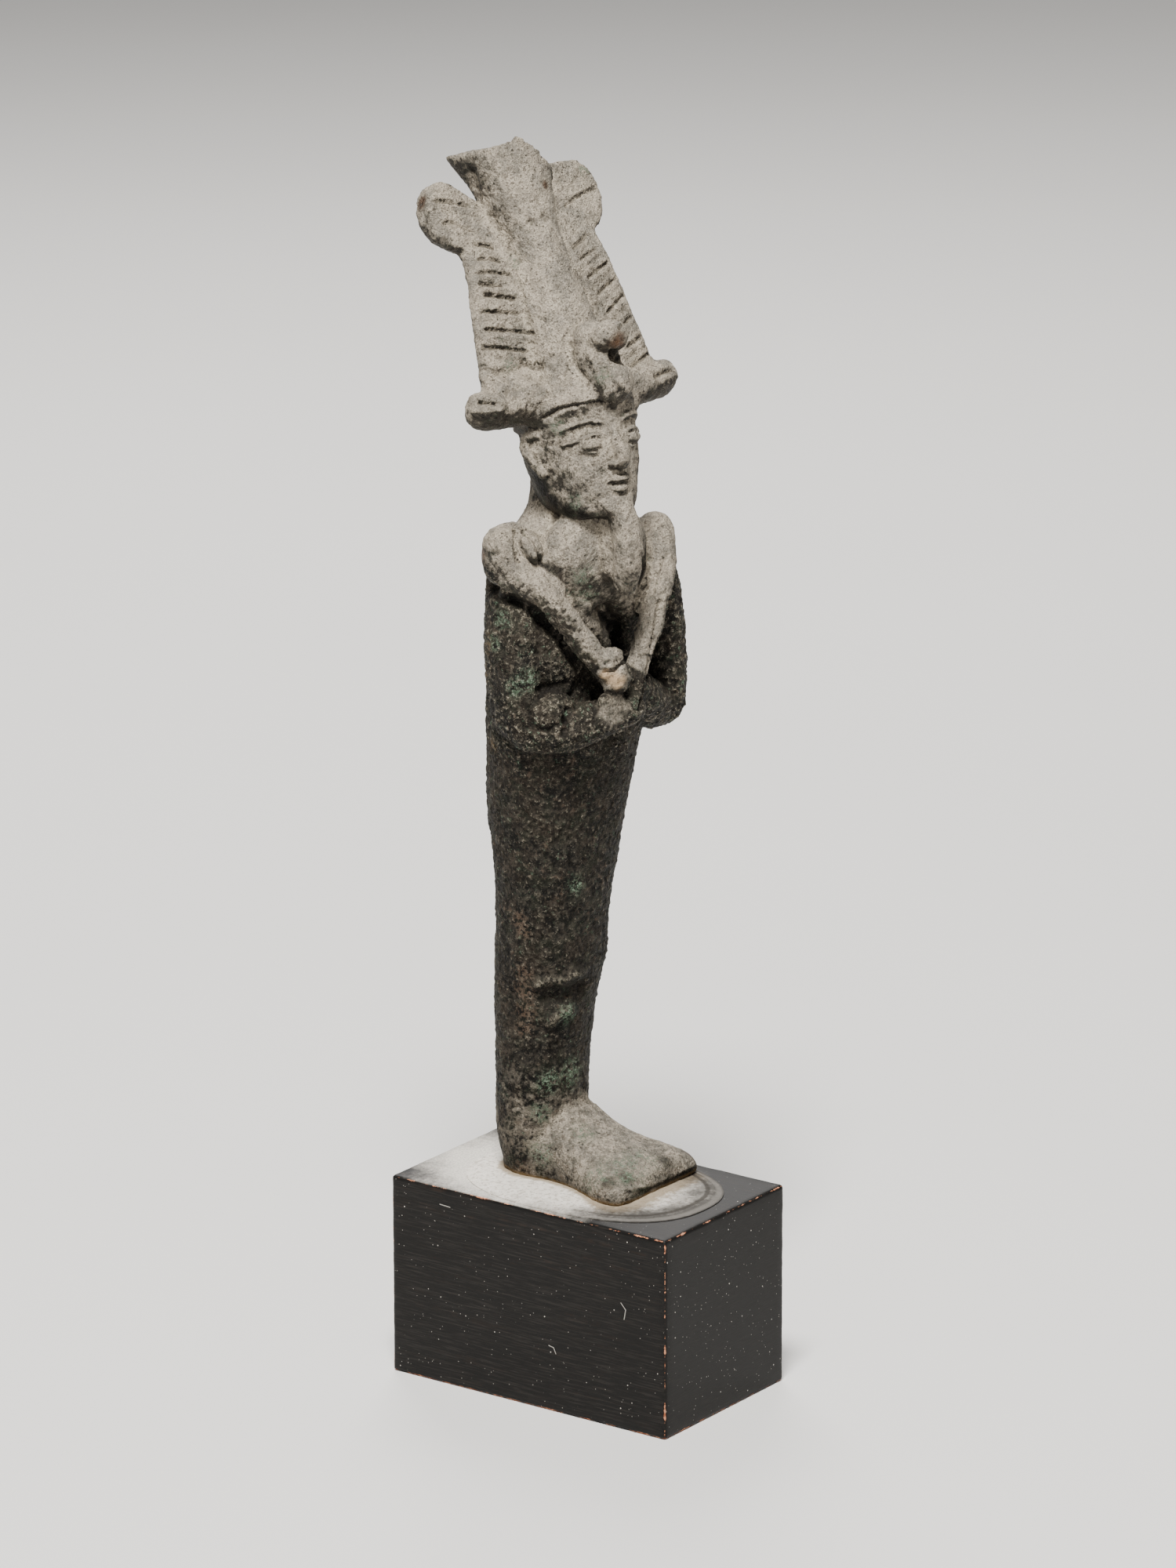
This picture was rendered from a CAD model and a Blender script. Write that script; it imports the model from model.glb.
# Looks of a small aged bronze figure with a tall plumed crown, bedded on a block of black painted wood

import math

import bpy
import numpy as np
from mathutils import Euler, Matrix, Vector


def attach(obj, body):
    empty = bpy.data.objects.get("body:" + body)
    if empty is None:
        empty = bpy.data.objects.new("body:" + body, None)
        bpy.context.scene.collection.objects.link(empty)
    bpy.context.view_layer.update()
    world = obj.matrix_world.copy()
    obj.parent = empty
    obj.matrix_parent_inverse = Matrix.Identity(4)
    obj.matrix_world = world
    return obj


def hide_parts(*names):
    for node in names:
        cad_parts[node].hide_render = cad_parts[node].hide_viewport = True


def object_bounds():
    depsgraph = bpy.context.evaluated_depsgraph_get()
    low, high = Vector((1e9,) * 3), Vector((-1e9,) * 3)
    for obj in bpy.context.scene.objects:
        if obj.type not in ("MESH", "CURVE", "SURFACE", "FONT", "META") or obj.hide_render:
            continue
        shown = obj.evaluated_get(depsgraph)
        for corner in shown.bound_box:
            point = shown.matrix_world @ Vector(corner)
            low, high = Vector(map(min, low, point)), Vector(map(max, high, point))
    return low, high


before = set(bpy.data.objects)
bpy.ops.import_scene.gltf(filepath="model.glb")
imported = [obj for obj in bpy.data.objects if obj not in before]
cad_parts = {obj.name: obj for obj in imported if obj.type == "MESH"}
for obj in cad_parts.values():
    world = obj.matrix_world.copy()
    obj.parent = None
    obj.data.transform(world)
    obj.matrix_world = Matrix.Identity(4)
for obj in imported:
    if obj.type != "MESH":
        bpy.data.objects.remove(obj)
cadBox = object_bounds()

mm = 0.001

# The photograph's frame, and the camera that sees it
photoView = {
    "wide": 1500, "high": 2000, "lens": 198.0, "sensor": 36.0,
    "place": (-0.69452, -0.50168, 0.32782), "turn": -54.167, "down": 17.019, "roll": -0.103,
}


def viewAxes():
    # right, up and back of the camera
    turn, down, roll = (math.radians(photoView[key]) for key in ("turn", "down", "roll"))
    back = Vector((math.sin(turn) * math.cos(down), -math.cos(turn) * math.cos(down), math.sin(down)))
    right = Vector((math.cos(turn), math.sin(turn), 0))
    up = back.cross(right)
    return (right * math.cos(roll) + up * math.sin(roll),
            up * math.cos(roll) - right * math.sin(roll), back)


def added(make, **settings):
    # a new object from an operator, with nothing else selected
    bpy.ops.object.select_all(action="DESELECT")
    make(**settings)
    return bpy.context.object


def adjusted(thing, settings):
    for key, value in settings.items():
        setattr(thing, key, value)
    return thing


def addCamera():
    camera = added(bpy.ops.object.camera_add, location=photoView["place"])
    camera.rotation_euler = Matrix(viewAxes()).transposed().to_euler()
    adjusted(camera.data, {"lens": photoView["lens"], "sensor_width": photoView["sensor"], "clip_start": 0.01})
    bpy.context.scene.camera = camera


def sightLine(u, v):
    # the line of sight through a point of the photograph
    right, up, back = viewAxes()
    focal = photoView["lens"] / photoView["sensor"] * photoView["high"]
    across = (u - photoView["wide"] / 2) / focal
    above = (photoView["high"] / 2 - v) / focal
    return Vector(photoView["place"]), (right * across + up * above - back).normalized()


# The figure is laid out upright in its own units, then turned and leant
stance = {
    "unit": 0.1098 / 110, "x": 0.001, "y": 0.005, "sole": 0.0223,
    "turn": 18.0, "turnFrom": 10.0, "turnTo": 60.0, "lean": 2.2, "leanTo": 84.6,
    "crownMiddle": (-0.4, -1.0, 84.0), "crownTilt": 26.0, "headTilt": 14.0, "brow": (-6.9, 84.6),
}
unit = stance["unit"]
# a height at which the body's turn and lean are complete
headHeight = 90


def softStep(values, low, high):
    t = np.clip((values - low) / (high - low), 0, 1)
    return t * t * (3 - 2 * t)


def band(values, start, full, fade, end):
    return softStep(values, start, full) * (1 - softStep(values, fade, end))


def turnAt(height):
    return -math.radians(stance["turn"]) * softStep(height, stance["turnFrom"], stance["turnTo"])


def leanAt(height):
    return math.tan(math.radians(stance["lean"])) * np.minimum(height, stance["leanTo"])


def heightOf(places):
    return (places[:, 2] - stance["sole"]) / unit


def onFigure(x, y, z):
    turned = Matrix.Rotation(turnAt(z), 3, "Z") @ Vector((x, y, 0))
    return Vector((stance["x"] + (turned.x + leanAt(z)) * unit, stance["y"] + turned.y * unit,
                   stance["sole"] + z * unit))


def tiltedBack(y, z, behind, above, tilt):
    # a way back and up from a pivot, tilted back about it
    tilt = math.radians(stance[tilt])
    return (y + behind * math.cos(tilt) + above * math.sin(tilt),
            z - behind * math.sin(tilt) + above * math.cos(tilt))


def onCrown(side, back, up):
    # the crown leans back from the middle of its rim
    x, y, z = stance["crownMiddle"]
    return onFigure(x + side, *tiltedBack(y, z, back, up, "crownTilt"))


def onHead(x, y, z):
    # the head tilts back about the front of its brow
    brow, rim = stance["brow"]
    return onFigure(x, *tiltedBack(brow, rim, y - brow, z - rim, "headTilt"))


def turnOf(tilt):
    return (Matrix.Rotation(turnAt(headHeight), 3, "Z")
            @ Matrix.Rotation(-math.radians(stance[tilt]), 3, "X")).to_euler()


def upright(places, turn, lean, maths=np):
    # sideways and backwards, with the figure's turn and lean undone
    x, y = (places[:, 0] - stance["x"]) / unit - lean, (places[:, 1] - stance["y"]) / unit
    return x * maths.cos(turn) + y * maths.sin(turn), y * maths.cos(turn) - x * maths.sin(turn)


def crownPlaces(places):
    # sideways, backwards and upwards in the crown's own leaning frame
    x, y = upright(places, float(turnAt(headHeight)), float(leanAt(headHeight)), math)
    side, behind, above = (value - middle
                           for value, middle in zip((x, y, heightOf(places)), stance["crownMiddle"]))
    tilt = math.radians(stance["crownTilt"])
    return (side, behind * math.cos(tilt) - above * math.sin(tilt),
            behind * math.sin(tilt) + above * math.cos(tilt))


def bodyPlaces(places):
    # sideways, backwards and upwards in the figure's own upright frame
    height = heightOf(places)
    return (*upright(places, turnAt(height), leanAt(height)), height)


# Small helpers for modelling with operators

def only(piece):
    bpy.ops.object.select_all(action="DESELECT")
    piece.select_set(True)
    bpy.context.view_layer.objects.active = piece


def finish(piece, kind, **settings):
    # one modifier, applied at once
    only(piece)
    modifier = adjusted(piece.modifiers.new(kind.lower(), kind), settings)
    bpy.ops.object.modifier_apply(modifier=modifier.name)


def shaped(piece, size):
    piece.scale = size
    bpy.ops.object.transform_apply(location=True, rotation=True, scale=True)
    return piece


def onWhole(piece, change, **settings):
    # an edit-mode operator, with the whole mesh selected
    only(piece)
    bpy.ops.object.mode_set(mode="EDIT")
    bpy.ops.mesh.select_all(action="SELECT")
    change(**settings)
    bpy.ops.object.mode_set(mode="OBJECT")


def smoothed(piece, passes, group="", factor=0.5):
    finish(piece, "SMOOTH", factor=factor, iterations=passes, vertex_group=group)


def roughened(piece, name, kind, strength, size, middle=0.5, group="", direction="NORMAL", **settings):
    # a skin displaced by a texture, strength and width in millimetres
    pattern = adjusted(bpy.data.textures.new(name, kind), {"noise_scale": size * mm, **settings})
    finish(piece, "DISPLACE", strength=strength * mm, mid_level=middle, texture_coords="LOCAL",
           direction=direction, vertex_group=group, texture=pattern)


def shaded(piece, name, angle):
    only(piece)
    bpy.ops.object.shade_smooth_by_angle(angle=math.radians(angle))
    piece.name = name
    print(name + ":", len(piece.data.polygons), "faces")
    return piece


def lump(at, size, turn=None, height=headHeight):
    # a rounded lump at its place, sizes in the figure's units
    piece = added(bpy.ops.mesh.primitive_uv_sphere_add, segments=28, ring_count=18, radius=unit, location=at,
                  rotation=turn or Euler((0, 0, turnAt(height))))
    return shaped(piece, size)


def rod(stops, place=onFigure):
    # a rounded rod through stops of x, y, z and radius
    piece = added(bpy.ops.curve.primitive_bezier_curve_add, location=(0, 0, 0))
    points = piece.data.splines[0].bezier_points
    points.add(len(stops) - 2)
    for point, (x, y, z, radius) in zip(points, stops):
        point.co = place(x, y, z)
        point.radius = radius
        point.handle_left_type = point.handle_right_type = "AUTO"
    adjusted(piece.data, {"dimensions": "3D", "bevel_depth": unit, "bevel_resolution": 4, "resolution_u": 8,
                          "use_fill_caps": True})
    bpy.ops.object.convert(target="MESH")
    piece = bpy.context.object
    ends = [lump(place(x, y, z), (radius,) * 3) for x, y, z, radius in (stops[0], stops[-1])]
    return joined([piece] + ends, "rod")


def joined(pieces, name):
    bpy.ops.object.select_all(action="DESELECT")
    for piece in pieces:
        piece.select_set(True)
    bpy.context.view_layer.objects.active = pieces[0]
    bpy.ops.object.join()
    pieces[0].name = name
    pieces[0].data.name = name
    return pieces[0]


def recast(piece, voxel):
    # everything that touches becomes one skin
    only(piece)
    piece.data.remesh_voxel_size = voxel
    piece.data.remesh_voxel_adaptivity = 0
    bpy.ops.object.voxel_remesh()


def polish(piece, passes):
    # smoothed to and fro, so that nothing shrinks
    for step in range(passes):
        smoothed(piece, 1)
        smoothed(piece, 1, factor=-0.52)


def vectors(values, name):
    out = np.empty(len(values) * 3, np.float32)
    values.foreach_get(name, out)
    return out.reshape(-1, 3)


def spots(piece):
    return vectors(piece.data.vertices, "co")


def facing(piece):
    return vectors(piece.data.vertices, "normal")


def gapTo(places, spot):
    return np.linalg.norm(places - np.array(spot), axis=1) / mm


def moved(piece, places):
    piece.data.vertices.foreach_set("co", places.astype(np.float32).ravel())
    piece.data.update()


def grouped(piece, name, weights):
    # a vertex group in sixteen steps of weight
    most = 16
    group = piece.vertex_groups.new(name=name)
    steps = np.round(np.clip(weights, 0, 1) * most).astype(int)
    for step in range(1, most + 1):
        group.add(np.nonzero(steps == step)[0].tolist(), step / most, "REPLACE")
    return name


strokeLook = {
    # step along the photograph, reach in widths, and how squarely a skin must face it
    "step": 4, "reach": 2.6, "facing": 0.1,
}


def seen(piece, u, v):
    # where a point of the photograph lies on a piece, and the way the piece faces there
    start, way = sightLine(u, v)
    hit, place, normal, face = piece.ray_cast(start, way)
    return (place, normal) if hit else None


def tracedLine(piece, line):
    # a line of the photograph, laid on a piece in short steps
    out = []
    for (u, v), (uNext, vNext) in zip(line, line[1:]):
        steps = max(int(math.hypot(uNext - u, vNext - v) / strokeLook["step"]), 1)
        for k in range(steps + 1):
            out.append(seen(piece, u + (uNext - u) * k / steps, v + (vNext - v) * k / steps))
    return zip(*((tuple(place), tuple(way)) for place, way in filter(None, out)))


def nearLine(places, line, reach):
    # distance of each spot from a line of points, for the spots within reach
    line = np.array(line, np.float32)
    low, high = line.min(0) - reach, line.max(0) + reach
    close = np.nonzero(((places > low) & (places < high)).all(1))[0]
    gaps = np.linalg.norm(places[close][:, None, :] - line[None, :, :], axis=2)
    nearest = gaps.argmin(1)
    distance = gaps.min(1)
    along = line[1:] - line[:-1]
    longest = np.maximum((along ** 2).sum(1), 1e-14)
    for start, way, length in zip(line, along, longest):
        t = np.clip(((places[close] - start) @ way) / length, 0, 1)
        distance = np.minimum(distance, np.linalg.norm(places[close] - start - t[:, None] * way, axis=1))
    return close, distance, nearest


def carve(piece, strokes):
    # each stroke presses its line into the skin, or raises it where its depth is negative;
    # a line of the photograph has points of two numbers
    bpy.context.view_layer.update()
    places, normals = spots(piece), facing(piece)
    for wide, deep, line in strokes:
        ways = None
        if len(line[0]) == 2:
            line, ways = tracedLine(piece, line)
        wide = wide * mm
        close, distance, nearest = nearLine(places, line, wide * strokeLook["reach"])
        share = np.exp(-(distance / wide) ** 2)
        if ways:
            along = np.einsum("ij,ij->i", normals[close], np.array(ways, np.float32)[nearest])
            share *= along > strokeLook["facing"]
        places[close] -= normals[close] * (share * deep * mm)[:, None]
    moved(piece, places)


# The bronze figure

headLook = {
    # a plain face in the head's own frame, right half mirrored
    "core": ((0, -1.0, 79.3), (5.45, 5.85, 6.9)),
    "jaw": ((0, -3.0, 75.5), (4.0, 3.8, 2.8)),
    "cheek": ((1.9, -3.95, 77.8), (2.4, 1.95, 3.0)),
    "brow": ((0.9, -6.75, 82.1, 0.26), (2.3, -6.6, 82.6, 0.32), (3.9, -5.4, 82.4, 0.3),
             (5.0, -3.6, 81.7, 0.22)),
    "eye": ((2.35, -5.95, 80.25), (1.4, 1.0, 0.86)),
    "upperLid": ((0.95, -6.35, 80.1, 0.18), (1.7, -6.75, 80.95, 0.24), (2.6, -6.6, 81.18, 0.25),
                 (3.6, -5.8, 80.85, 0.23), (4.8, -4.3, 80.5, 0.18)),
    "lowerLid": ((1.0, -6.35, 80.0, 0.16), (1.8, -6.5, 79.5, 0.2), (2.7, -6.3, 79.38, 0.2),
                 (3.6, -5.6, 79.8, 0.18)),
    "nose": ((0, -6.55, 82.0, 0.46), (0, -7.2, 79.9, 0.58), (0, -7.95, 78.3, 0.72), (0, -7.5, 77.8, 0.64)),
    "nostril": ((0.72, -7.05, 77.9), (0.55, 0.75, 0.5)),
    "upperLip": ((-1.55, -6.2, 76.0, 0.22), (-0.6, -6.95, 76.35, 0.42), (0, -7.05, 76.2, 0.38),
                 (0.6, -6.95, 76.35, 0.42), (1.55, -6.2, 76.0, 0.22)),
    "lowerLip": ((-1.25, -6.3, 75.65, 0.24), (0, -6.9, 75.3, 0.52), (1.25, -6.3, 75.65, 0.24)),
    "chin": ((0, -6.0, 73.9), (1.6, 1.2, 1.1)),
    "earRim": ((5.0, -2.0, 81.2, 0.45), (6.0, -1.2, 82.0, 0.6), (6.6, -0.2, 81.2, 0.62),
               (6.4, -0.5, 79.5, 0.58), (5.6, -1.3, 77.9, 0.6)),
    "earCup": ((5.4, -1.1, 79.9), (0.6, 1.0, 1.6)),
    "melt": (73.6, 75.1, 82.7, 84.2), "meltAhead": (0.5, 3.0), "meltPasses": 26,
}

# grooves that set the features off: wide, deep, and a line in the head's own frame
faceGrooves = [
    (0.45, 0.07, ((1.0, -6.6, 81.6), (2.4, -6.5, 81.9), (3.9, -5.3, 81.6))),
    (0.15, 0.11, ((1.2, -6.7, 80.75), (1.9, -6.9, 80.9), (2.7, -6.6, 80.92), (3.5, -5.9, 80.6))),
    (0.15, 0.14, ((1.3, -6.6, 79.85), (2.0, -6.7, 79.66), (2.8, -6.4, 79.66), (3.4, -5.8, 79.9))),
    (0.26, 0.12, ((1.1, -6.4, 79.2), (2.3, -6.3, 78.98), (3.6, -5.5, 79.3))),
    (0.17, 0.34, ((0.0, -7.2, 75.83), (0.9, -6.8, 75.85), (1.7, -6.1, 75.95))),
    (0.3, 0.18, ((0.0, -6.7, 74.65), (0.9, -6.5, 74.75))),
]

beard = ((0.2, -8.7, 73.9, 1.15), (0.4, -9.5, 71.7, 1.36), (0.6, -9.7, 69.1, 1.42), (0.8, -9.4, 66.8, 1.42),
         (0.9, -9.1, 65.4, 1.2))

handLook = {
    # rows of fingers: middle of the row, size and rise of a finger, and how many
    "upper": ((-0.7, -8.7, 57.0), (1.6, 1.0, 0.95), 0.8, 3),
    "lower": ((-0.5, -8.6, 51.7), (1.8, 1.0, 1.05), 0.8, 4),
}

armLook = {
    # fillings of the arms and the crook's two lobes: middle and size
    "lumps": (((-4.4, -4.0, 57.5), (3.7, 2.2, 5.8)), ((-5.9, -5.9, 52.0), (2.7, 1.9, 2.2)),
              ((0.2, -8.6, 54.7), (1.7, 1.2, 1.3)), ((-7.5, -3.7, 68.8), (1.15, 1.7, 1.9)),
              ((-0.5, -8.6, 51.7), (1.7, 0.95, 1.8)), ((-0.7, -8.7, 57.0), (1.5, 0.9, 1.3))),
    "staff": ((-9.8, -1.9, 69.5, 2.05), (-9.5, -2.6, 67.8, 2.05), (-8.5, -4.2, 66.0, 1.75),
              (-6.6, -5.9, 64.2, 1.45), (-3.7, -7.2, 60.2, 1.3), (-1.1, -8.1, 56.8, 1.15)),
    "flail": ((9.7, -2.5, 67.8, 1.8), (8.9, -4.6, 65.0, 1.55), (6.9, -6.3, 61.0, 1.25),
              (4.5, -7.4, 57.0, 1.15)),
}

crownLook = {
    # cuts of the plumes' hidden sides: heights, slope and reach
    "pitch": 2.15, "slope": 0.3, "count": 10, "from": 4.3, "to": 9.6, "behind": 1.5,
    "wide": 0.18, "deep": 0.42, "burrWide": 0.3, "burr": -0.14, "burrDrop": 7,
    # where the solid's barbs are levelled: heights, share of the plume's width, middle, reach
    "melt": (0.4, 1.4, 16.5, 18.5), "meltAcross": (0.22, 0.34, 0.84, 0.93), "meltBehind": (0.4, 3.2),
    "plumeFrom": 2.0, "plumeWide": 9.1, "plumeTaper": 0.17, "meltPasses": 34,
    "cobra": (((1.0, -6.0, -0.3), (2.25, 1.9, 2.5)), ((1.3, -7.1, 4.0), (1.85, 2.0, 1.8)),
              ((0.1, -5.7, 4.4), (2.0, 2.0, 1.8)), ((-0.2, -5.4, 2.6), (1.9, 2.0, 2.9))),
}

skinLook = {
    "firstVoxel": 0.3, "firstPolish": 4, "swell": 0.13, "voxel": 0.205, "polish": 2, "triangles": 190000,
    "reliefPasses": 40, "finePasses": 5,
    # corrosion in layers: strength and width in millimetres
    "layers": (("waves", "CLOUDS", 0.36, 3.0, {"noise_depth": 2}),
               ("lumps", "CLOUDS", 0.3, 1.0, {"noise_depth": 3, "noise_type": "HARD_NOISE"}),
               ("nodules", "VORONOI", -0.13, 0.5, {}), ("grain", "CLOUDS", 0.26, 0.44, {"noise_depth": 2})),
    "boxGap": 0.03,
    # how corroded a plain spot is, what each part adds, and the heights between which
    "plain": 0.8, "arms": 0.2, "foot": -0.56, "upper": -0.42, "crown": 0.18, "chest": -0.35,
    "armHeights": (43, 50, 60, 66), "footHeights": (3, 10), "upperHeights": (61, 67), "crownHeights": (76, 84),
    "chestSpots": ((0, -7, 68), (-3, -6.5, 66), (3, -6.5, 66), (0, -5, 62)), "chestReach": (2, 6),
}

# wide and deep in millimetres, and a line read off the photograph
carvedStrokes = [
    # slot and bright band of the near horn
    (0.24, 0.75, [(611, 512), (620, 511), (632, 514)]),
    (0.34, -0.26, [(606, 525), (620, 525), (640, 523)]),
    (0.5, 0.26, [(646, 502), (652, 516), (648, 536)]),
    (0.8, -0.45, [(640, 494), (656, 487), (676, 491), (688, 500)]),
    (0.22, 0.4, [(660, 487), (662, 487)]),
    # far horn
    (0.28, 0.5, [(838, 480), (848, 474), (858, 470)]),
    # the near curl: a raised rim with grooves running in under it
    (0.35, -0.22, [(545, 246), (546, 258), (546, 272)]),
    (0.24, -0.18, [(551, 262), (570, 264), (600, 270)]),
    (0.2, 0.26, [(556, 257), (570, 258), (584, 261), (600, 263)]),
    (0.2, 0.28, [(566, 284), (581, 284), (591, 290), (599, 293), (611, 295)]),
    # the near plume: its outer rib, and the soft edge of the barbs
    (0.22, 0.16, [(606, 352), (608, 380), (611, 414), (616, 452)]),
    (0.34, -0.2, [(664, 340), (672, 376), (679, 400), (686, 424), (690, 448)]),
    (0.4, 0.3, [(614, 470), (630, 476), (650, 474), (668, 466), (690, 470)]),
    # the far plume: a raised border beside the crown
    (0.24, -0.28, [(709, 312), (713, 324), (727, 337), (739, 356), (751, 370), (761, 384), (768, 400)]),
    (0.2, 0.32, [(722, 262), (738, 250), (752, 243), (760, 240)]),
    # the hollow under the broken lip
    (0.95, 0.5, [(600, 222), (604, 236), (608, 248)]),
    # dents in the crown's far side
    (0.4, 0.3, [(684, 254), (688, 258)]),
    (0.34, 0.28, [(694, 276), (697, 280)]),
    (0.26, 0.22, [(676, 282), (678, 285)]),
    # hollow between the cobra's head and hood, and the ragged rim of its hood
    (0.5, 1.0, [(782, 453), (790, 457), (798, 462)]),
    (0.34, -0.3, [(750, 448), (758, 464), (764, 480), (768, 496), (774, 509)]),
    (0.42, 0.3, [(774, 474), (780, 488), (788, 500)]),
    # rim over the brow
    (0.2, 0.4, [(694, 534), (704, 528), (713, 522), (730, 519), (747, 516), (764, 514), (777, 515)]),
    # hook of the crook: the groove between its lobes
    (0.38, 0.75, [(657, 673), (660, 686), (660, 698), (662, 713)]),
    (0.34, 0.6, [(669, 678), (679, 688), (688, 703), (692, 719)]),
    (0.62, -0.4, [(670, 689), (675, 699), (680, 709)]),
    (1.1, -0.2, [(636, 682), (632, 696), (640, 708)]),
    # the shadow under the staff, and its upper ridge
    (0.6, 0.9, [(616, 738), (630, 752), (646, 762), (669, 772), (685, 783), (698, 798), (714, 812), (728, 832),
              (738, 846)]),
    (0.3, -0.22, [(691, 735), (703, 751), (714, 767), (728, 786), (742, 804), (751, 822), (758, 838)]),
    # hands: under the upper fist, the fingers and the wrist
    (0.2, 0.45, [(770, 858), (784, 855), (792, 849), (799, 840)]),
    (0.3, 0.28, [(758, 886), (760, 902), (758, 920)]),
    (0.32, 0.6, [(725, 906), (722, 922), (720, 938)]),
    (0.4, 0.4, [(688, 880), (704, 876), (722, 872)]),
    # the deep hollow between the chest and the hands
    (0.85, 1.6, [(768, 784), (778, 794), (788, 806)]),
    (0.8, 1.6, [(780, 778), (790, 796), (792, 824)]),
    # the flail's folds, and the far arm's groove beside it
    (0.3, -0.18, [(818, 700), (822, 716), (824, 742)]),
    (0.3, 0.34, [(846, 712), (838, 734), (832, 756)]),
    (0.3, 0.5, [(840, 768), (834, 820), (824, 868), (818, 906)]),
    # ripples over the knees and the shin
    (0.5, -0.42, [(684, 1257), (700, 1250), (716, 1252), (732, 1243), (741, 1241)]),
    (0.95, 0.6, [(700, 1272), (722, 1268), (742, 1260)]),
    (0.62, -0.45, [(702, 1306), (711, 1297), (721, 1289), (728, 1290)]),
    # the thin lip of the sole under the toes
    (0.22, -0.16, [(892, 1482), (878, 1490), (850, 1504), (824, 1514), (796, 1518), (770, 1510)]),
]


def headPieces():
    look = headLook
    tilt = turnOf("headTilt")
    pieces = [lump(onHead(*look[key][0]), look[key][1], tilt) for key in ("core", "jaw", "chin")]
    pieces += [rod(look[key], onHead) for key in ("nose", "upperLip", "lowerLip")]
    for hand in (-1, 1):
        for key in ("cheek", "eye", "nostril", "earCup"):
            (x, y, z), size = look[key]
            pieces.append(lump(onHead(hand * x, y, z), size, tilt))
        for key in ("brow", "upperLid", "lowerLid", "earRim"):
            pieces.append(rod([(hand * x, y, z, radius) for x, y, z, radius in look[key]], onHead))
    return pieces + [rod(beard)]


def faceStrokes():
    return [(wide, deep, [onHead(hand * x, y, z) for x, y, z in way])
            for wide, deep, way in faceGrooves for hand in (-1, 1)]


def handPieces():
    pieces = []
    for (x, y, z), size, rise, count in handLook.values():
        for k in range(count):
            height = z + (k - (count - 1) / 2) * rise
            pieces.append(lump(onFigure(x, y, height), size, height=height))
    return pieces


def armPieces():
    return ([rod(armLook["staff"]), rod(armLook["flail"])]
            + [lump(onFigure(*at), size, height=at[2]) for at, size in armLook["lumps"]])


def cobraPieces():
    tilt = turnOf("crownTilt")
    return [lump(onCrown(*at), size, tilt) for at, size in crownLook["cobra"]]


# the cuts between the barbs: near plume, then far plume
barbLines = [
    [(608, 312), (618, 313), (629, 316)], [(612, 330), (624, 330), (638, 333)],
    [(609, 347), (630, 347), (651, 350)], [(612, 362), (622, 363), (640, 365)],
    [(620, 377), (638, 379), (657, 382)], [(612, 398), (636, 398), (662, 400)],
    [(620, 420), (650, 422), (679, 425)], [(616, 443), (640, 444), (671, 448)],
    [(733, 316), (741, 308), (748, 300)], [(742, 331), (750, 324), (759, 317)],
    [(752, 354), (763, 344), (775, 335)], [(765, 374), (774, 365), (786, 355)],
    [(776, 398), (786, 387), (797, 375)], [(791, 419), (799, 411), (807, 403)],
    [(802, 442), (810, 436), (819, 429)], [(806, 466), (816, 459), (829, 451)],
]


def barbStrokes():
    # each cut throws up a low burr; the plumes' hidden backs follow their fronts
    look = crownLook
    strokes = []
    for line in barbLines:
        strokes.append((look["wide"], look["deep"], line))
        strokes.append((look["burrWide"], look["burr"], [(u, v + look["burrDrop"]) for u, v in line]))
    for hand in (-1, 1):
        for k in range(look["count"]):
            steps = [look["from"] + (look["to"] - look["from"]) * step / 8 for step in range(9)]
            strokes.append((look["wide"], look["deep"],
                            [onCrown(hand * away, look["behind"], k * look["pitch"] + look["slope"] * away)
                             for away in steps]))
    return strokes


def meltFace(piece):
    # the plain face of the solid is melted before the finer one goes on
    look = headLook
    places = spots(piece)
    front, middle = onFigure(0, -6, 78), onFigure(0, 0, 78)
    way = (front - middle).normalized()
    forward = ((places[:, :2] - np.array(middle[:2])) @ np.array(way[:2])) / unit
    near = band(heightOf(places), *look["melt"]) * softStep(forward, *look["meltAhead"])
    smoothed(piece, look["meltPasses"], grouped(piece, "face", near))


def meltBarbs(piece):
    # the barbs of the solid are levelled too, inside the plumes' edges
    look = crownLook
    side, back, up = crownPlaces(spots(piece))
    share = (np.abs(side) - look["plumeFrom"]) / np.maximum(look["plumeWide"] - look["plumeTaper"] * up, 1)
    middle, reach = look["meltBehind"]
    field = band(share, *look["meltAcross"]) * (np.abs(back - middle) < reach) * band(up, *look["melt"])
    smoothed(piece, look["meltPasses"], grouped(piece, "barbs", field))


def roughness(piece):
    # how corroded each spot is: most on the arms and the flanks
    look = skinLook
    places = spots(piece)
    height = heightOf(places)
    arms = band(height, *look["armHeights"])
    chest = np.zeros(len(places))
    for spot in look["chestSpots"]:
        chest = np.maximum(chest, 1 - softStep(gapTo(places, onFigure(*spot)), *look["chestReach"]))
    rough = look["plain"] + look["arms"] * arms + look["foot"] * (1 - softStep(height, *look["footHeights"]))
    for part in ("upper", "crown"):
        rough += look[part] * softStep(height, *look[part + "Heights"])
    return np.clip(rough + look["chest"] * chest * arms, 0.1, 1)


def corrode(piece):
    rough = grouped(piece, "rough", roughness(piece))
    for name, kind, strength, size, settings in skinLook["layers"]:
        roughened(piece, name, kind, strength, size, group=rough, **settings)


def keptInside(piece):
    # nothing reaches past the solids' own box
    low, high = (np.array(corner) for corner in cadBox)
    gap = skinLook["boxGap"] * mm
    moved(piece, np.clip(spots(piece), low + gap, high - gap))


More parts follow.
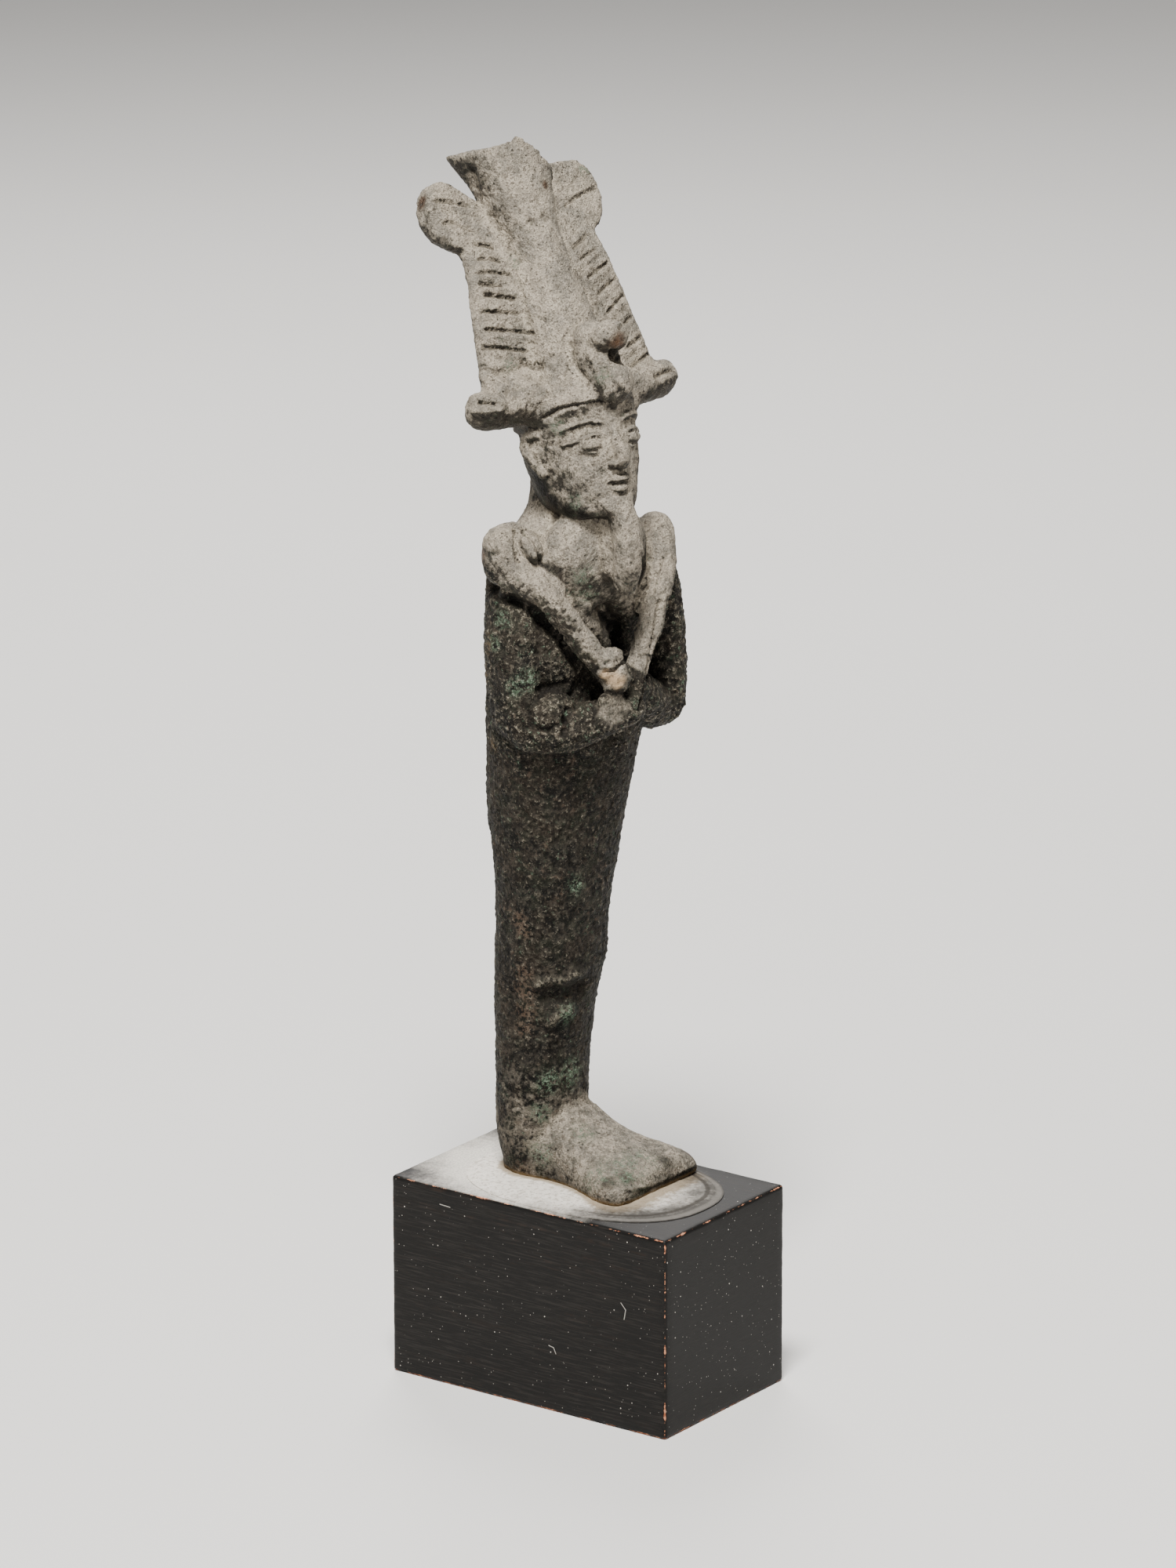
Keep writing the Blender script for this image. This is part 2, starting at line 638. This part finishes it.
def reliefOf(piece, passes):
    # height of each spot over a smoothed copy of the skin
    copy = bpy.data.objects.new("smoothed", piece.data.copy())
    bpy.context.scene.collection.objects.link(copy)
    smoothed(copy, passes)
    rise = np.einsum("ij,ij->i", spots(piece) - spots(copy), facing(copy)) / mm
    bpy.data.objects.remove(copy)
    return rise


def painted(piece, **attributes):
    for name, values in attributes.items():
        attribute = piece.data.attributes.new(name, "FLOAT", "POINT")
        attribute.data.foreach_set("value", np.asarray(values, np.float32))


# spots of the photograph and how far each patch reaches, in millimetres
patches = {
    "green": [(744, 732, 1.2), (746, 760, 0.9), (672, 868, 1.2), (656, 878, 0.9), (813, 898, 0.5),
              (712, 545, 0.8), (650, 465, 0.9), (745, 215, 0.9), (735, 640, 0.8), (800, 1490, 2.6),
              (820, 1478, 1.8), (760, 1500, 1.6), (692, 1470, 1.3), (730, 1370, 1.6), (700, 1380, 1.3),
              (725, 1295, 1.2), (735, 1130, 1.0), (745, 1445, 1.4), (690, 1420, 1.0), (640, 790, 1.0),
              (630, 820, 0.8), (655, 335, 0.7), (770, 480, 0.9)],
    "polish": [(538, 258, 0.9), (790, 434, 1.0), (615, 706, 0.8), (696, 236, 0.5), (881, 1474, 0.5)],
    "bare": [(684, 606, 1.1), (692, 622, 1.1), (706, 640, 0.9), (724, 652, 0.8), (744, 658, 0.7),
             (770, 786, 0.8), (780, 796, 1.0), (788, 806, 1.0), (791, 822, 0.8), (788, 457, 0.45),
             (632, 753, 0.4), (642, 760, 0.45), (653, 766, 0.5), (664, 771, 0.5), (676, 777, 0.5),
             (688, 786, 0.55), (700, 799, 0.55), (711, 811, 0.55), (722, 824, 0.55), (732, 838, 0.5),
             (800, 1502, 0.9), (850, 1482, 0.9), (776, 1508, 0.9)],
    "rust": [(662, 1174, 0.9), (667, 1188, 0.8), (668, 1242, 1.0), (669, 1264, 1.1), (670, 1290, 1.1),
             (669, 1312, 0.9), (668, 1500, 1.4), (760, 1528, 1.2)],
    "worn": [(688, 1255, 0.5), (702, 1250, 0.5), (716, 1252, 0.5), (732, 1244, 0.5), (704, 1304, 0.5),
             (712, 1296, 0.5), (722, 1289, 0.5), (690, 1448, 0.8), (676, 1462, 0.8), (740, 1408, 0.8)],
    "soil": [(783, 866, 0.75), (773, 862, 0.6), (792, 868, 0.55), (788, 873, 0.5)],
    "gold": [(622, 820, 1.2), (619, 860, 1.2), (628, 950, 0.8)],
}


# shares of its reach between which a patch fades out
patchFade = (0.35, 1.6)


def patchMask(piece, places, spotsSeen):
    mask = np.zeros(len(places))
    for u, v, reach in spotsSeen:
        place, way = seen(piece, u, v)
        mask = np.maximum(mask, 1 - softStep(gapTo(places, place) / reach, *patchFade))
    return mask


dustLook = {
    # heights where dust sets in on the chest, on the shoulders and arms, and on the back
    "chest": (56.0, 62.0), "sides": (66.0, 69.5), "back": (62.0, 75.0),
    # where the sides and the back begin, and how far dust spreads from the staff and flail
    "aside": (3.5, 6.0), "behind": (-2.0, 1.0), "rodReach": (1.8, 2.8),
    # fists that carry dust: place and reach
    "fists": (((-0.7, -8.9, 57.0), 2.2), ((0.0, -9.0, 54.7), 2.2), ((-0.5, -8.8, 52.0), 2.4)),
    "fistShare": 0.55, "fistFade": (0.4, 1.3),
    # how much steeper a skin holds dust on the crown and the breast, and where
    "crown": 0.1, "crownHeights": (85, 92), "breast": 0.17, "breastHeights": (54, 58, 70, 73),
    "calm": 0.25, "calmReach": (1.0, 3.0),
    # calm spots round the eyes and lips, in the head's own frame
    "eyes": ((2.6, -6.3, 80.6), (-2.6, -6.3, 80.6), (0, -7.2, 80.5), (0.8, -7.0, 76.5)),
}


def dustOn(places):
    # where dust can lie, and how much steeper than level a skin still holds it
    look = dustLook
    x, y, height = bodyPlaces(places)
    behind = softStep(y, *look["behind"])
    flanks = np.maximum(softStep(np.abs(x), *look["aside"]), behind)
    dusty = softStep(height, *look["chest"]) * (1 - flanks) + softStep(height, *look["sides"]) * flanks
    dusty = dusty * (1 - behind) + softStep(height, *look["back"]) * behind
    near, far = look["rodReach"]
    for key in ("staff", "flail"):
        line = [tuple(onFigure(*stop[:3])) for stop in armLook[key]]
        close, distance, nearest = nearLine(places, line, far * 1.1 * mm)
        dusty[close] = np.maximum(dusty[close], 1 - softStep(distance / mm, near, far))
    for spot, reach in look["fists"]:
        near, far = look["fistFade"]
        away = gapTo(places, onFigure(*spot))
        dusty = np.maximum(dusty, look["fistShare"] * (1 - softStep(away, reach * near, reach * far)))
    lift = look["crown"] * softStep(height, *look["crownHeights"])
    lift += look["breast"] * (1 - flanks) * band(height, *look["breastHeights"]) * (y < 0)
    for spot in [onHead(*spot) for spot in look["eyes"]] + [onFigure(*spot) for spot, reach in look["fists"]]:
        lift = np.maximum(lift, look["calm"] * (1 - softStep(gapTo(places, spot), *look["calmReach"])))
    return dusty, lift


def bronzeFigure():
    look = skinLook
    piece = bpy.data.objects.new("bronzeFigure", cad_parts["figure"].data.copy())
    bpy.context.scene.collection.objects.link(piece)
    onWhole(piece, bpy.ops.mesh.remove_doubles, threshold=0.001 * mm)
    meltFace(piece)
    finish(piece, "SUBSURF", levels=1, render_levels=1)
    print("figure: casting from the solid,", len(piece.data.vertices), "vertices")

    recast(piece, look["firstVoxel"] * mm)
    polish(piece, look["firstPolish"])
    meltBarbs(piece)
    finish(piece, "DISPLACE", strength=look["swell"] * mm, mid_level=0)
    piece = joined([piece] + headPieces() + handPieces() + armPieces() + cobraPieces(), "bronzeFigure")
    recast(piece, look["voxel"] * mm)
    polish(piece, look["polish"])
    print("figure: head, hands and cobra added,", len(piece.data.vertices), "vertices")

    carve(piece, barbStrokes() + faceStrokes())
    carve(piece, carvedStrokes)
    corrode(piece)
    keptInside(piece)
    finish(piece, "DECIMATE", ratio=look["triangles"] / (2 * len(piece.data.polygons)),
           use_collapse_triangulate=True)
    print("figure: carved and corroded,", len(piece.data.polygons), "faces")

    piece.vertex_groups.clear()
    bpy.context.view_layer.update()
    places = spots(piece)
    dusty, lift = dustOn(places)
    painted(piece, relief=reliefOf(piece, look["reliefPasses"]),
            fineRelief=reliefOf(piece, look["finePasses"]), dusty=dusty, lift=lift, height=heightOf(places),
            **{name: patchMask(piece, places, spotsSeen) for name, spotsSeen in patches.items()})
    only(piece)
    bpy.ops.object.shade_smooth()
    return piece


# The block and the bedding

blockLook = {
    "wide": 21.7, "long": 35.5, "high": 22.0, "edge": 0.38, "cuts": 44,
    "wear": 0.1, "wearSize": 1.6, "wearReach": (0.1, 0.9), "wearFrom": 0.3,
    # middle and reach of the dust on the top
    "dustMiddle": (-0.4, 4.0), "dustReach": (12.2, 16.0),
}


def woodBlock():
    look = blockLook
    piece = added(bpy.ops.mesh.primitive_cube_add, size=mm, location=(0, 0, look["high"] / 2 * mm))
    shaped(piece, (look["wide"], look["long"], look["high"]))
    onWhole(piece, bpy.ops.mesh.subdivide, number_cuts=look["cuts"])
    finish(piece, "BEVEL", width=look["edge"] * mm, segments=3, limit_method="ANGLE")

    # worn where two sides are near, and not along the underside
    places = spots(piece)
    inside = np.abs(places) - np.array([look["wide"] / 2, look["long"] / 2, 0]) * mm
    inside[:, 2] = np.maximum(-places[:, 2], places[:, 2] - look["high"] * mm)
    gaps = np.sort(-inside, axis=1)
    worn = 1 - softStep(gaps[:, 1] / mm, *look["wearReach"])
    worn *= places[:, 2] > look["wearFrom"] * mm
    roughened(piece, "worn edges", "CLOUDS", look["wear"], look["wearSize"], 1.0, grouped(piece, "worn", worn),
              noise_depth=2)
    piece.vertex_groups.clear()
    return shaded(piece, "woodBlock", 40)


beddingLook = {
    "middle": (-0.5, -1.3), "half": (9.9, 14.3), "power": 2.4, "cells": 110,
    "rim": 0.1, "step": 0.26, "root": 0.52, "thick": 0.5, "uneven": 0.1, "unevenSize": 1.1,
    # shares of the way out where it steps down, and the groove's place, width and depth
    "rimFall": (0.9, 0.985), "rootFall": (0.45, 0.86), "groove": (0.885, 0.012, 0.06),
}


def filler():
    look = beddingLook
    piece = added(bpy.ops.mesh.primitive_grid_add, x_subdivisions=look["cells"], y_subdivisions=look["cells"],
                  size=2, location=(0, 0, 0))
    power = look["power"]
    places = spots(piece)
    ring = np.abs(places[:, :2]).max(1)
    angle = np.arctan2(places[:, 1], places[:, 0])
    ways = np.cos(angle), np.sin(angle)
    reach = (np.abs(ways[0]) ** power + np.abs(ways[1]) ** power) ** (-1 / power)
    out = np.zeros_like(places)
    for axis in (0, 1):
        out[:, axis] = look["middle"][axis] + ring * reach * ways[axis] * look["half"][axis]
    groove, grooveWide, grooveDeep = look["groove"]
    out[:, 2] = (blockLook["high"] + look["rim"]
                 + (look["step"] - look["rim"]) * (1 - softStep(ring, *look["rimFall"]))
                 + (look["root"] - look["step"]) * (1 - softStep(ring, *look["rootFall"]))
                 - grooveDeep * np.exp(-((ring - groove) / grooveWide) ** 2))
    moved(piece, out * mm)
    roughened(piece, "uneven filler", "CLOUDS", look["uneven"], look["unevenSize"], direction="Z",
              noise_depth=3)
    finish(piece, "SOLIDIFY", thickness=look["thick"] * mm, offset=-1)

    # how far out each spot lies, and how far from the foot
    places = spots(piece) / mm
    aside, ahead = (np.abs(places[:, axis] - look["middle"][axis]) / look["half"][axis] for axis in (0, 1))
    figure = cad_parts["figure"]
    gaps = [(figure.closest_point_on_mesh(figure.matrix_world.inverted() @ Vector(place))[1]
             - Vector(place)).length / mm for place in spots(piece).tolist()]
    painted(piece, ring=(aside ** power + ahead ** power) ** (1 / power), toFoot=gaps)
    return shaded(piece, "filler", 50)


# Shader maths: a wire carries a value, and sums are written with it

def operator(operation, swapped=False):
    def made(wire, other):
        values = (other, wire) if swapped else (wire, other)
        return wire.paint.sum(operation, *values)
    return made


class Wire:
    __add__, __radd__ = operator("ADD"), operator("ADD", True)
    __sub__, __rsub__ = operator("SUBTRACT"), operator("SUBTRACT", True)
    __mul__, __rmul__ = operator("MULTIPLY"), operator("MULTIPLY", True)
    __truediv__, __pow__ = operator("DIVIDE"), operator("POWER")

    def __init__(self, paint, socket):
        self.paint, self.socket = paint, socket


class Paint:
    def __init__(self, name, colours=None):
        self.material = bpy.data.materials.new(name)
        self.material.use_nodes = True
        self.tree = self.material.node_tree
        self.shader = self.tree.nodes["Principled BSDF"]
        self.colours = colours
        self.coat = None

    def put(self, socket, value):
        if isinstance(value, str):
            value = self.colours[value]
        if isinstance(value, Wire):
            self.tree.links.new(value.socket, socket)
        elif isinstance(value, tuple) and len(value) == 3 and socket.type == "RGBA":
            socket.default_value = (*value, 1)
        else:
            socket.default_value = value

    def node(self, kind, settings, inputs, out=0):
        made = adjusted(self.tree.nodes.new("ShaderNode" + kind), settings)
        for key, value in inputs.items():
            self.put(made.inputs[key], value)
        return Wire(self, made.outputs[out])

    def sum(self, operation, *values):
        return self.node("Math", {"operation": operation}, dict(enumerate(values)))

    def least(self, one, other):
        return self.sum("MINIMUM", one, other)

    def most(self, one, other):
        return self.sum("MAXIMUM", one, other)

    def attribute(self, name):
        return self.node("Attribute", {"attribute_name": name}, {}, "Fac")

    def place(self):
        return self.node("TexCoord", {}, {}, "Object")

    def axes(self):
        return [self.node("SeparateXYZ", {}, {"Vector": self.place()}, axis) for axis in "XYZ"]

    def towards(self, axis):
        # how much a surface faces along an axis
        normal = self.node("NewGeometry", {}, {}, "Normal")
        return self.node("SeparateXYZ", {}, {"Vector": normal}, axis)

    def stretched(self, scale):
        return self.node("Mapping", {}, {"Vector": self.place(), "Scale": scale})

    def noise(self, size, detail=3.0, rough=0.55, vector=None):
        # size is the width of a blotch in millimetres
        return self.node("TexNoise", {}, {"Vector": vector or self.place(), "Scale": 1 / (size * mm),
                                          "Detail": detail, "Roughness": rough}, "Fac")

    def cells(self, size):
        return self.node("TexVoronoi", {}, {"Vector": self.place(), "Scale": 1 / (size * mm)}, "Distance")

    def between(self, value, low, high, kind="SMOOTHSTEP"):
        return self.node("MapRange", {"interpolation_type": kind},
                         {"Value": value, "From Min": low, "From Max": high})

    def band(self, value, start, full, fade, end):
        return self.between(value, start, full) * (1 - self.between(value, fade, end))

    def blotches(self, size, detail, low, high, rough=0.55):
        return self.between(self.noise(size, detail, rough), low, high)

    def mix(self, share, under, over):
        return self.node("Mix", {"data_type": "RGBA"}, {0: share, 6: under, 7: over}, 2)

    def lay(self, share, colour):
        # one more coat over the ones before
        self.coat = self.mix(share, self.coat, colour)

    def vector(self, operation, first, second=(0, 0, 0), out="Vector"):
        return self.node("VectorMath", {"operation": operation}, {0: first, 1: second}, out)

    def fromLine(self, start, end):
        # distance of each place from a short straight line
        along = end - start
        toStart = self.vector("SUBTRACT", self.place(), tuple(start))
        share = self.vector("DOT_PRODUCT", toStart, tuple(along / along.length_squared), "Value")
        nearest = self.vector("MULTIPLY", tuple(along), self.node("Clamp", {}, {"Value": share}))
        return self.vector("LENGTH", self.vector("SUBTRACT", toStart, nearest), out="Value")

    def brushes(self):
        return self.between, self.blotches, self.lay, self.mix, self.noise

    def bumps(self, *layers):
        # each layer is a height, a distance in millimetres and a strength
        normal = None
        for height, distance, strength in layers:
            inputs = {"Height": height, "Distance": distance * mm, "Strength": strength}
            if normal:
                inputs["Normal"] = normal
            normal = self.node("Bump", {}, inputs, "Normal")
        return normal

    def surface(self, shine, **inputs):
        self.put(self.shader.inputs["Base Color"], self.coat)
        self.put(self.shader.inputs["Specular IOR Level"], shine)
        for key, value in inputs.items():
            self.put(self.shader.inputs[key], value)
        return self.material


bronzeColours = {
    "dark": (0.005, 0.0046, 0.0038), "brown": (0.018, 0.0132, 0.009), "olive": (0.0145, 0.016, 0.01),
    "red": (0.055, 0.026, 0.015), "green": (0.06, 0.105, 0.062), "paleGreen": (0.25, 0.32, 0.235),
    "rubbed": (0.17, 0.15, 0.112), "rust": (0.105, 0.068, 0.045), "glint": (0.36, 0.325, 0.25),
    "dust": (0.44, 0.385, 0.305), "greyDust": (0.27, 0.244, 0.2), "beigeDust": (0.58, 0.505, 0.39),
    "lowDust": (0.1, 0.085, 0.064), "footDust": (0.19, 0.155, 0.118), "pit": (0.004, 0.0035, 0.003),
    "polished": (0.12, 0.065, 0.036), "soil": (0.47, 0.34, 0.21), "gold": (0.22, 0.145, 0.065),
}


def agedBronze():
    paint = Paint("aged bronze", bronzeColours)
    between, blotches, lay, mix, noise = paint.brushes()
    own = paint.attribute
    relief, fine, height = (own(name) for name in ("relief", "fineRelief", "height"))
    up = paint.towards("Z")
    speckle, grit, coarse = noise(0.4, 3, 0.65), noise(0.17, 2, 0.6), noise(0.8, 4, 0.65)
    bareSpots, polish, soil = (own(name) for name in ("bare", "polish", "soil"))
    above = between(own("dusty") + (noise(2.6, 5, 0.65) - 0.5) * 1.3, 0.25, 0.75)
    lower = 1 - between(height, 5.5, 15.0)

    # patina in fine grains: dark, brown and olive, with small red ones
    brown = between(noise(2.8, 4) * 0.6 + speckle * 0.4, 0.42, 0.6)
    paint.coat = mix(brown, "dark", "brown")
    lay(blotches(1.7, 4, 0.46, 0.66) * 0.75, "olive")
    lay(between(coarse, 0.56, 0.68) * blotches(5.0, 2, 0.44, 0.6) * 0.6, "red")
    lay(own("gold") * between(speckle, 0.4, 0.64) * 0.5, "gold")

    # worn crests catch the light, pits are nearly black
    crests = between(fine, 0.0, 0.05)
    arms = paint.band(height, 44.0, 50.0, 62.0, 70.0)
    uneven = (speckle - 0.5) * 0.6 + (coarse - 0.5) * 0.5
    worn = between(relief + uneven * 1.5, 0.06, 0.3) * (0.1 + arms * 0.26)
    lay(paint.most(worn, own("worn") * between(speckle, 0.4, 0.58) * 0.8), "rubbed")
    lay(own("rust") * between(speckle, 0.42, 0.58) * 0.8, "rust")
    sparks = between(grit * 0.55 + speckle * 0.25 + coarse * 0.2, 0.52, 0.6) * (0.15 + crests * 0.85)
    lay(sparks * (0.45 + arms * 0.4), "glint")
    pits = 1 - between(fine, -0.07, -0.005)
    pores = (1 - between(paint.cells(0.62), 0.1, 0.26)) * blotches(1.8, 3, 0.47, 0.58)
    lay(pits * 0.8, "pit")
    # the edge of the sole shows gold
    lay((1 - between(height + speckle * 0.4, 0.4, 0.85)) * 0.8, "gold")

    # green in small grains, thicker in its patches
    grains = blotches(0.55, 4, 0.58, 0.68, 0.65) * blotches(2.4, 3, 0.46, 0.62)
    patch = own("green") * between(noise(0.32, 4, 0.7) * 0.6 + coarse * 0.4, 0.46, 0.56)
    green = paint.most(grains * (0.4 + arms * 0.4), patch * 0.8)
    lay(green, mix(between(grit, 0.42, 0.66), "green", "paleGreen"))
    lay(polish * between(speckle, 0.25, 0.5) * 0.9, "polished")

    # dust lies as a film, palest in the hollows
    ragged = (coarse - 0.5) * 0.9 + (noise(2.6, 3) - 0.5) * 0.9 + (speckle - 0.5) * 0.7
    lift = own("lift")
    lying = between(up + ragged * (1 - lift * 1.5) + lift, -0.28, 0.22)
    foot = lower * between(up + ragged, -0.22, 0.5) * (0.62 + 0.38 * blotches(0.7, 4, 0.42, 0.56, 0.65))
    film = paint.most(above * (0.1 + 0.9 * lying) + (1 - above) * 0.07 * lying, foot)
    film = film * (1 - pits * 0.55) * (1 - pores * 0.65)
    film = film * (0.66 + 0.34 * between(coarse * 0.6 + speckle * 0.4, 0.4, 0.54) + lift * 0.3)
    film = film * (1 - crests * 0.1) * (1 - polish * 0.85) * (1 - green * 0.8) * (1 - bareSpots * 0.8)

    # the dust: beige in the hollows, brown round the foot, with dark and light grains
    settled = mix(blotches(2.3, 4, 0.42, 0.62, 0.6), "dust", "greyDust")
    settled = mix((1 - between(relief, -0.2, 0.02)) * 0.8, settled, "beigeDust")
    brownish = blotches(0.8, 4, 0.48, 0.6, 0.7) * lower * (1.1 - between(up, 0.3, 0.9))
    settled = mix(brownish * 0.7, settled, "footDust")
    settled = mix(between(grit * 0.35 + speckle * 0.65, 0.51, 0.595) * 0.72, settled, "lowDust")
    light = 1 - between(grit * 0.6 + speckle * 0.4, 0.38, 0.46)
    settled = mix(light * 0.7, settled, "beigeDust")
    lay(film * 0.96, settled)
    lay(bareSpots * between(height, 8.0, 20.0) * 0.8, "dark")
    lay(soil, "soil")

    bare = (1 - film) * (1 - green) * (1 - soil)
    bumps = paint.bumps((coarse, 0.2, 1.0), (speckle, 0.32, 1.0), (pores * -1, 0.12, 1.0), (grit, 0.1, 1.0))
    return paint.surface(0.18, Roughness=0.84 - bare * 0.28 - polish * 0.26 + grit * 0.08,
                         Metallic=bare * (0.35 + polish * 0.5), Normal=bumps)


blockColours = {
    "paint": (0.006, 0.0055, 0.005), "rubbed": (0.02, 0.0175, 0.0155), "brown": (0.034, 0.019, 0.012),
    "wood": (0.3, 0.085, 0.038), "bareWood": (0.54, 0.25, 0.14), "dust": (0.76, 0.72, 0.65),
    "lint": (0.55, 0.53, 0.48),
}

# lint on the block's side: lines of the photograph
lint = [((792, 1662), (798, 1671), (796, 1683)), ((700, 1716), (706, 1719), (709, 1727)),
        ((561, 1536), (574, 1540))]


def dustOnTop(paint):
    # dust is thick round the heel and thins out to the edges
    aside, ahead = ((value / mm - middle) / reach for value, middle, reach
                    in zip(paint.axes(), blockLook["dustMiddle"], blockLook["dustReach"]))
    away = (aside * aside + ahead * ahead) ** 0.5
    blown = (paint.noise(3.0, 4, 0.6) - 0.5) * 0.45 + (paint.noise(0.5, 3, 0.6) - 0.5) * 0.22
    return 1 - paint.between(away + blown, 0.66, 1.16)


def paintedWood():
    paint = Paint("black painted wood", blockColours)
    between, blotches, lay, mix, noise = paint.brushes()
    look = blockLook
    x, y, z = paint.axes()

    def inward(value, half):
        return half * mm - paint.sum("ABSOLUTE", value)

    a, b = inward(x, look["wide"] / 2), inward(y, look["long"] / 2)
    c = inward(z - look["high"] / 2 * mm, look["high"] / 2)
    toEdge = paint.most(paint.least(a, b), paint.least(paint.most(a, b), c)) / mm

    # brushed paint, its grain running along the block
    strands = noise(0.16, 4, 0.65, paint.stretched((1, 0.04, 1)))
    across = noise(0.16, 4, 0.65, paint.stretched((0.07, 1, 1)))
    front = between(paint.towards("Y") * -1, 0.6, 0.9)
    strands = strands * (1 - front) + across * front
    grain = noise(0.45, 3, 0.6, paint.stretched((1, 0.03, 1)))
    uneven = noise(2.2, 4, 0.65)
    paint.coat = mix(between(strands, 0.46, 0.68) * (0.9 - front * 0.5), "paint", "rubbed")
    high = between(z / mm, 10.0, 21.0)
    brown = between(grain, 0.52, 0.7) * between(uneven, 0.42, 0.62) * (0.35 + 0.65 * high)
    lay(brown * 0.45 * (1 - front), "brown")

    # a thin line of bare wood along the edges
    ragged = noise(0.45, 4, 0.7)
    worn = 1 - between(toEdge - (ragged - 0.5) * 0.36 - (uneven - 0.5) * 0.5, 0.11, 0.17)
    lay(worn, mix(between(ragged, 0.42, 0.6), "wood", "bareWood"))

    # dust on the top, specks of two sizes, and the lint
    settled = between(paint.towards("Z"), 0.6, 0.95) * dustOnTop(paint)
    settled = settled * (0.7 + 0.3 * blotches(0.22, 3, 0.35, 0.6, 0.6))
    lay(settled * 0.92, "dust")
    for size, reach, share, dense in ((1.0, 0.085, 0.85, 0.49), (0.55, 0.11, 0.4, 0.44)):
        places = blotches(3.4 * size, 2, dense - front * 0.1, dense + 0.12 - front * 0.1)
        lay((1 - between(paint.cells(size), reach * 0.5, reach)) * places * share, "dust")
    for line in lint:
        for start, end in zip(line, line[1:]):
            thread = 1 - between(paint.fromLine(onSide(*start), onSide(*end)) / mm, 0.02, 0.06)
            lay(thread * 0.7, "lint")
    return paint.surface(0.16, Roughness=0.42 + strands * 0.14 + settled * 0.4 + worn * 0.3,
                         Normal=paint.bumps((strands, 0.016, 0.7), (worn, 0.05, 0.5)))


def onSide(u, v):
    # where a point of the photograph lies on the block's right side
    start, way = sightLine(u, v)
    return start + way * ((-blockLook["wide"] / 2 * mm - start.x) / way.x)


fillerColours = {
    "clay": (0.46, 0.41, 0.335), "dust": (0.68, 0.635, 0.565), "pale": (0.8, 0.76, 0.69),
    "grain": (0.86, 0.83, 0.77), "speck": (0.36, 0.32, 0.26), "fillet": (0.25, 0.185, 0.105),
    "thin": (0.022, 0.02, 0.018), "line": (0.03, 0.026, 0.021), "rim": (0.3, 0.28, 0.25),
}


def dustyFiller():
    paint = Paint("dusty filler", fillerColours)
    between, blotches, lay, mix, noise = paint.brushes()
    clods, grain = noise(0.8, 5, 0.65), noise(0.14, 3, 0.6)
    ring = paint.attribute("ring")
    paint.coat = mix(between(clods, 0.25, 0.4, "LINEAR"), "clay", "dust")
    lay(between(clods, 0.4, 0.65, "LINEAR"), "pale")
    lay(between(grain, 0.55, 0.72) * 0.5, "grain")
    lay(blotches(0.42, 3, 0.52, 0.6, 0.6) * 0.6, "speck")

    # a brownish fillet where the sole meets it, widest before the toes
    ahead = between(paint.axes()[1] / -mm, 3.0, 9.0)
    fillet = 1 - between(paint.attribute("toFoot") / (0.8 + ahead * 1.4) + (clods - 0.5) * 1.1, 0.45, 1.25)
    lay(fillet * 0.8, "fillet")

    # black shows through thin dust; before the toes the ring has a dark line and a rim
    lay((1 - dustOnTop(paint)) * between(ring, 0.5, 0.8) * 0.93, "thin")
    lay(paint.band(ring, 0.85, 0.868, 0.885, 0.905) * ahead * 0.72, "line")
    lay(paint.band(ring, 0.93, 0.955, 0.975, 1.0) * ahead * 0.3, "rim")
    return paint.surface(0.25, Roughness=0.9, Normal=paint.bumps((clods, 0.1, 0.8), (grain, 0.05, 0.9)))


# Floor, light and camera

studio = {
    "floor": (0.8, 0.79, 0.77), "floorWide": 24, "farTone": 0.97,
    "air": (0.88, 0.88, 0.88), "airStrength": 0.19,
    # place, aim, size, watts and colour of each soft light
    "lights": {
        "key": ((-0.3, -0.16, 0.74), (0, 0, 0.07), 0.18, 12.6, (1.0, 0.98, 0.95)),
        "front": ((-0.62, -0.28, 0.22), (0, 0, 0.07), 0.45, 0.5, (0.98, 0.98, 1.0)),
        "rim": ((0.35, 0.3, 0.4), (0, 0, 0.08), 0.3, 2.5, (1.0, 0.98, 0.96)),
    },
}


def addStudio():
    floor = added(bpy.ops.mesh.primitive_plane_add, size=studio["floorWide"], location=(0, 0, 0))
    floor.name = "floor"
    paint = Paint("pale floor")
    darker = tuple(value * studio["farTone"] for value in studio["floor"])
    paint.coat = paint.mix(paint.noise(60, 2), studio["floor"], darker)
    floor.data.materials.append(paint.surface(0.5, Roughness=0.8))
    for name, (place, aim, size, watts, colour) in studio["lights"].items():
        light = added(bpy.ops.object.light_add, type="AREA", location=place)
        light.name = name
        light.rotation_euler = (Vector(aim) - Vector(place)).to_track_quat("-Z", "Y").to_euler()
        adjusted(light.data, {"size": size, "energy": watts, "color": colour})
    world = bpy.data.worlds.new("studio air")
    bpy.context.scene.world = world
    world.use_nodes = True
    background = world.node_tree.nodes["Background"]
    background.inputs["Color"].default_value = (*studio["air"], 1)
    background.inputs["Strength"].default_value = studio["airStrength"]


addCamera()
addStudio()
print("camera, light and floor are set")

for piece, node, slot, look in ((woodBlock(), "block", "painted wood", paintedWood()),
                                (filler(), "bedding", "filler", dustyFiller()),
                                (bronzeFigure(), "figure", "bronze", agedBronze())):
    piece.data.materials.clear()
    piece.data.materials.append(look)
    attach(piece, "root")
    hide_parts(node)
print("all pieces are finished")
